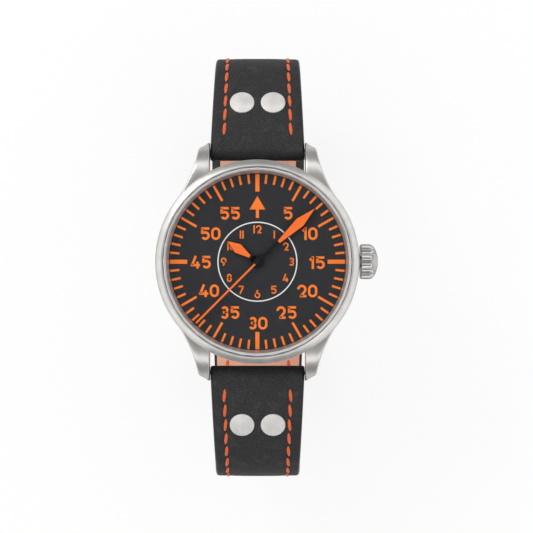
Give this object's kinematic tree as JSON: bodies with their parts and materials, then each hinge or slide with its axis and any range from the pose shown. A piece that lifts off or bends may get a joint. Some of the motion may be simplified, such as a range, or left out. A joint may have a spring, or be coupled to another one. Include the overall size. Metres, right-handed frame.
{
  "type": "wristwatch",
  "caption": "Pilot style wristwatch: round brushed steel case, black dial with orange markings and hands, fluted crown, riveted black leather strap closed on a pin buckle.",
  "frame": {"origin": "centre of the case back's outer face, on the dial axis", "axes": "+Z out of the dial, +Y towards 12 o'clock, +X towards the crown at 3 o'clock"},
  "size_m": [0.046, 0.0901, 0.0511],
  "materials": {
    "case_steel": "circular brushed",
    "polished_steel": "polished",
    "sapphire": "polished",
    "black_rubber": "matt",
    "dial_black": "matt",
    "orange_print": "satin",
    "hand_black": "satin",
    "movement_nickel": "grained",
    "gilt_brass": "brushed",
    "tool_steel": "polished",
    "ruby": "polished",
    "blue_spring": "polished",
    "strap_leather": "grained",
    "lining_leather": "smooth"
  },
  "bodies": {
    "case": {"middle_case": "case_steel", "bezel": "case_steel", "crystal": "sapphire", "crystal_gasket": "black_rubber", "rehaut_ring": "polished_steel", "case_back": "case_steel", "back_glass": "sapphire", "back_gasket": "black_rubber", "crown_tube": "tool_steel", "dial": "dial_black", "dial_marks": "orange_print", "movement_ring": "movement_nickel", "main_plate": "movement_nickel", "barrel_bridge": "movement_nickel", "train_bridge": "movement_nickel", "balance_cock": "movement_nickel", "pallet_bridge": "movement_nickel", "jewels": "ruby", "center_tube": "tool_steel", "hairspring": "blue_spring", "rotor_post": "tool_steel", "spring_bar_12": "tool_steel", "spring_bar_6": "tool_steel", "strap_12_leather": "strap_leather", "strap_12_lining": "lining_leather", "strap_6_leather": "strap_leather", "strap_6_lining": "lining_leather", "rivets_12": "polished_steel", "rivets_6": "polished_steel", "buckle_frame": "polished_steel", "buckle_bar": "tool_steel", "fixed_keeper": "strap_leather"},
    "seconds_train": {"fourth_wheel": "gilt_brass", "seconds_hand": "orange_print"},
    "third_train": {"third_wheel": "gilt_brass"},
    "great_train": {"great_wheel": "gilt_brass"},
    "barrel_drum": {"barrel": "gilt_brass"},
    "escape_train": {"escape_wheel": "tool_steel"},
    "motion_train": {"minute_wheel": "gilt_brass"},
    "minute_display": {"cannon_pinion": "tool_steel", "minute_hand": "hand_black", "minute_hand_lume": "orange_print"},
    "hour_display": {"hour_wheel": "gilt_brass", "hour_hand": "hand_black", "hour_hand_lume": "orange_print"},
    "pallet_lever": {"pallet_fork": "tool_steel"},
    "balance": {"balance_wheel": "gilt_brass"},
    "winding_weight": {"rotor": "movement_nickel"},
    "crown_carrier": {"crown_gasket": "black_rubber"},
    "crown_and_stem": {"crown": "polished_steel", "winding_stem": "tool_steel"},
    "keyless_sleeve": {"winding_pinion": "tool_steel", "sliding_clutch": "tool_steel"},
    "crown_gear": {"crown_wheel": "tool_steel"},
    "ratchet_gear": {"ratchet_wheel": "tool_steel", "barrel_arbor": "tool_steel"},
    "buckle_pin": {"buckle_tongue": "polished_steel"},
    "loose_keeper": {"sliding_keeper": "strap_leather"}
  },
  "joints": [
    {"name": "seconds_spin", "type": "hinge", "parent": "case", "child": "seconds_train", "pos_m": [0, 0, 0.009], "axis": [0, 0, -1], "continuous": true},
    {"name": "third_spin", "type": "hinge", "parent": "case", "child": "third_train", "pos_m": [-0.00322, -0.00303, 0.0044], "axis": [0, 0, -1], "continuous": true},
    {"name": "great_spin", "type": "hinge", "parent": "case", "child": "great_train", "pos_m": [0.00086, -0.00599, 0.0038], "axis": [0, 0, -1], "continuous": true},
    {"name": "barrel_spin", "type": "hinge", "parent": "case", "child": "barrel_drum", "pos_m": [0.00603, -0.00508, 0.005], "axis": [0, 0, -1], "continuous": true},
    {"name": "escape_spin", "type": "hinge", "parent": "case", "child": "escape_train", "pos_m": [-0.00276, 0.00329, 0.0049], "axis": [0, 0, -1], "continuous": true},
    {"name": "motion_spin", "type": "hinge", "parent": "case", "child": "motion_train", "pos_m": [0.00277, -0.00266, 0.0072], "axis": [0, 0, -1], "continuous": true},
    {"name": "minute_spin", "type": "hinge", "parent": "case", "child": "minute_display", "pos_m": [0, 0, 0.0087], "axis": [0, 0, -1], "continuous": true},
    {"name": "hour_spin", "type": "hinge", "parent": "case", "child": "hour_display", "pos_m": [0, 0, 0.0083], "axis": [0, 0, -1], "continuous": true},
    {"name": "pallet_swing", "type": "hinge", "parent": "case", "child": "pallet_lever", "pos_m": [-0.00313, 0.00571, 0.0049], "axis": [0, 0, -1], "range_deg": [-4, 4]},
    {"name": "balance_swing", "type": "hinge", "parent": "case", "child": "balance", "pos_m": [-0.00223, 0.00831, 0.004], "axis": [0, 0, -1], "range_deg": [-270, 270]},
    {"name": "rotor_spin", "type": "hinge", "parent": "case", "child": "winding_weight", "pos_m": [0, 0, 0.00185], "axis": [0, 0, -1], "continuous": true},
    {"name": "crown_pull", "type": "slide", "parent": "case", "child": "crown_carrier", "axis": [1, 0, 0], "range_m": [0, 0.0012]},
    {"name": "crown_turn", "type": "hinge", "parent": "crown_carrier", "child": "crown_and_stem", "pos_m": [0.022, 0, 0.0053], "axis": [1, 0, 0], "continuous": true},
    {"name": "sleeve_turn", "type": "hinge", "parent": "case", "child": "keyless_sleeve", "pos_m": [0.01, 0, 0.0053], "axis": [1, 0, 0], "continuous": true},
    {"name": "crown_gear_spin", "type": "hinge", "parent": "case", "child": "crown_gear", "pos_m": [0.0084, 0, 0.003], "axis": [0, 0, -1], "continuous": true},
    {"name": "ratchet_spin", "type": "hinge", "parent": "case", "child": "ratchet_gear", "pos_m": [0.00603, -0.00508, 0.0026], "axis": [0, 0, -1], "continuous": true},
    {"name": "tongue_lift", "type": "hinge", "parent": "case", "child": "buckle_pin", "pos_m": [0, 0.01, -0.03289], "axis": [1, 0, 0], "range_deg": [0, 10]},
    {"name": "keeper_slide", "type": "hinge", "parent": "case", "child": "loose_keeper", "pos_m": [0, 0, 0.03708], "axis": [1, 0, 0], "range_deg": [-2, 2.5]}
  ],
  "couplings": [
    {"joint": "third_spin", "follows": "seconds_spin", "ratio": -0.13333},
    {"joint": "great_spin", "follows": "seconds_spin", "ratio": 0.016667},
    {"joint": "barrel_spin", "follows": "seconds_spin", "ratio": -0.0027778},
    {"joint": "escape_spin", "follows": "seconds_spin", "ratio": -12},
    {"joint": "motion_spin", "follows": "seconds_spin", "ratio": -0.0055556},
    {"joint": "minute_spin", "follows": "seconds_spin", "ratio": 0.016667},
    {"joint": "hour_spin", "follows": "seconds_spin", "ratio": 0.0013889},
    {"joint": "sleeve_turn", "follows": "crown_turn", "ratio": 1},
    {"joint": "crown_gear_spin", "follows": "crown_turn", "ratio": -0.5},
    {"joint": "ratchet_spin", "follows": "crown_turn", "ratio": 0.27778}
  ]
}
